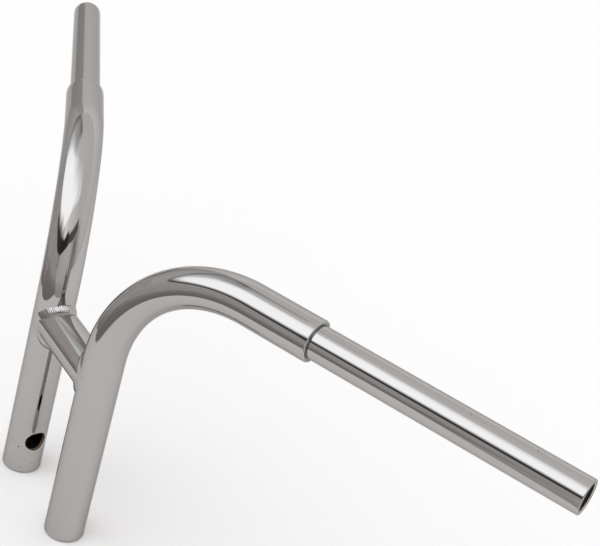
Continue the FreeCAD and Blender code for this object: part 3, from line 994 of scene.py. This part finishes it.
def lit_side(tree, around, above):
    """How strongly the tent is lit: above a soft edge, and on one side, which leans higher up."""
    start = height_by_compass(tree, around, [
        (-180, 50.5), (-165, 54), (-150, 30), (0, 33), (20, 22), (37, 13.5), (52, 13), (85, 13.5), (97, 16.5),
        (112, 17), (120, 27), (127, 35), (137, 41), (147, 46), (153, 48.5), (180, 50.5)])
    width = height_by_compass(tree, around, [
        (-180, 6), (-150, 6), (0, 20), (20, 14), (37, 12), (52, 8), (70, 9), (85, 13), (100, 18), (112, 15),
        (120, 9), (130, 7), (180, 6)])
    lean = maths(tree, "MAXIMUM", maths(tree, "SUBTRACT", above, elevation(42)), 0.0)
    leaned = maths(tree, "FRACT", maths(tree, "MULTIPLY_ADD", lean, -0.22, around))
    strength = by_compass(tree, leaned, [
        (-180, 0.28), (-174, 0.06), (-168, 0.0), (-9, 0.0), (-6, 0.12), (6, 0.20), (20, 0.28), (32, 0.54),
        (41, 0.92), (54, 1.0), (118, 1.0), (132, 0.95), (138, 0.80), (143, 0.62), (150, 0.55), (165, 0.48),
        (174, 0.44), (180, 0.28)])
    lit = remap(tree, above, start, maths(tree, "ADD", start, width))
    return maths(tree, "MULTIPLY", lit, strength)


def light_tent(stage):
    """Soft light all round: pale walls, and one lit side above a dark gap. Its lamp dims near the top."""
    world = bpy.data.worlds.new("light tent")
    world.use_nodes = True
    tree = world.node_tree
    tree.nodes.clear()
    way = node(tree, "ShaderNodeTexCoord").outputs["Generated"]
    bearing = maths(tree, "ARCTAN2", coordinate(tree, way, "Y"), coordinate(tree, way, "X"))
    around = maths(tree, "MULTIPLY_ADD", bearing, 1 / (2 * math.pi), 0.5)
    above = maths(tree, "MULTIPLY", maths(tree, "ARCSINE", coordinate(tree, way, "Z")), 2 / math.pi)
    bright = np.array(LAMP_TINT) * stage.lamp
    near_top = remap(tree, above, elevation(53), elevation(93))
    lamp = mix_colour(tree, near_top, tuple(bright), tuple(bright * 0.45))
    tent = mix_colour(tree, lit_side(tree, around, above), unlit_tent(tree, around, above), lamp)
    background = node(tree, "ShaderNodeBackground", {"Color": tent, "Strength": 1.0})
    node(tree, "ShaderNodeOutputWorld", {"Surface": background.outputs["Background"]})
    return world


def aim_camera(stage):
    """Camera at its place, turned to the aim point and leaned over by the roll."""
    data = bpy.data.cameras.new("photograph_view")
    data.sensor_fit = "HORIZONTAL"
    data.sensor_width = 36
    data.lens = stage.lens
    data.clip_start = 0.05
    camera = bpy.data.objects.new("photograph_view", data)
    bpy.context.scene.collection.objects.link(camera)
    look = (Vector(stage.aim) - Vector(stage.camera)).to_track_quat("-Z", "Y").to_matrix()
    turned = look @ Matrix.Rotation(stage.roll, 3, "Z")
    camera.matrix_world = Matrix.Translation(Vector(stage.camera)) @ turned.to_4x4()
    return camera


class HANDLEBAR_OT_stage(bpy.types.Operator):
    """Lay the paper floor, hang the light tent and set up the camera"""

    bl_idname = "handlebar.stage"
    bl_label = "Stage"

    def execute(self, context):
        stage = context.scene.handlebar_stage
        low, high = -FLOOR_REACH, FLOOR_REACH
        floor = [(low, low), (high, low), (high, high), (low, high)]
        board = [*lying([BOARD_START, BOARD_END], BOARD_LOW), *lying([BOARD_END, BOARD_START], BOARD_HIGH)]
        stage_plane("paper_floor", lying(floor, FLOOR_HEIGHT), paper("paper", stage.floor))
        reflected_card(
            "grey_table", lying(GREY_TABLE, GREY_TABLE_HEIGHT),
            table_top("grey table", stage.grey_table_edge, stage.grey_table))
        reflected_card(
            "brown_table", lying(BROWN_TABLE, BROWN_TABLE_HEIGHT),
            table_top("brown table", stage.brown_table_edge, stage.brown_table))
        reflected_card("grey_board", board, board_front("grey board", stage.board_foot, stage.board))
        context.scene.world = light_tent(stage)
        context.scene.camera = aim_camera(stage)
        context.scene.view_settings.view_transform = "Standard"
        return {"FINISHED"}


class HANDLEBAR_PT_panel(bpy.types.Panel):
    """Lists the handlebar's makers and their sizes"""

    bl_label = "Handlebar"
    bl_idname = "HANDLEBAR_PT_panel"
    bl_space_type = "VIEW_3D"
    bl_region_type = "UI"
    bl_category = "Handlebar"

    def draw(self, context):
        for operator in OPERATORS:
            self.layout.operator(operator.bl_idname)
        for group in PROPERTIES:
            settings = getattr(context.scene, group)
            box = self.layout.box()
            for name in settings.__annotations__:
                box.prop(settings, name)


PROPERTIES = {
    "handlebar_tubes": TubeSizes,
    "handlebar_grips": GripSizes,
    "handlebar_bungs": BungSizes,
    "handlebar_welds": WeldSizes,
    "handlebar_finish": FinishColours,
    "handlebar_stage": StageSettings,
}
OPERATORS = (
    HANDLEBAR_OT_stage, HANDLEBAR_OT_bar_tubes, HANDLEBAR_OT_cross_tube, HANDLEBAR_OT_cross_welds,
    HANDLEBAR_OT_grip_tubes, HANDLEBAR_OT_foot_bungs,
)


def register():
    for kind in (*PROPERTIES.values(), *OPERATORS, HANDLEBAR_PT_panel):
        bpy.utils.register_class(kind)
    for name, kind in PROPERTIES.items():
        setattr(bpy.types.Scene, name, PointerProperty(type=kind))


def unregister():
    for name in PROPERTIES:
        delattr(bpy.types.Scene, name)
    for kind in (HANDLEBAR_PT_panel, *reversed(OPERATORS), *reversed(PROPERTIES.values())):
        bpy.utils.unregister_class(kind)


def main():
    register()
    bpy.ops.handlebar.stage()
    bpy.ops.handlebar.bar_tubes()
    bpy.ops.handlebar.cross_tube()
    bpy.ops.handlebar.cross_welds()
    bpy.ops.handlebar.grip_tubes()
    bpy.ops.handlebar.foot_bungs()


if __name__ == "__main__":
    main()
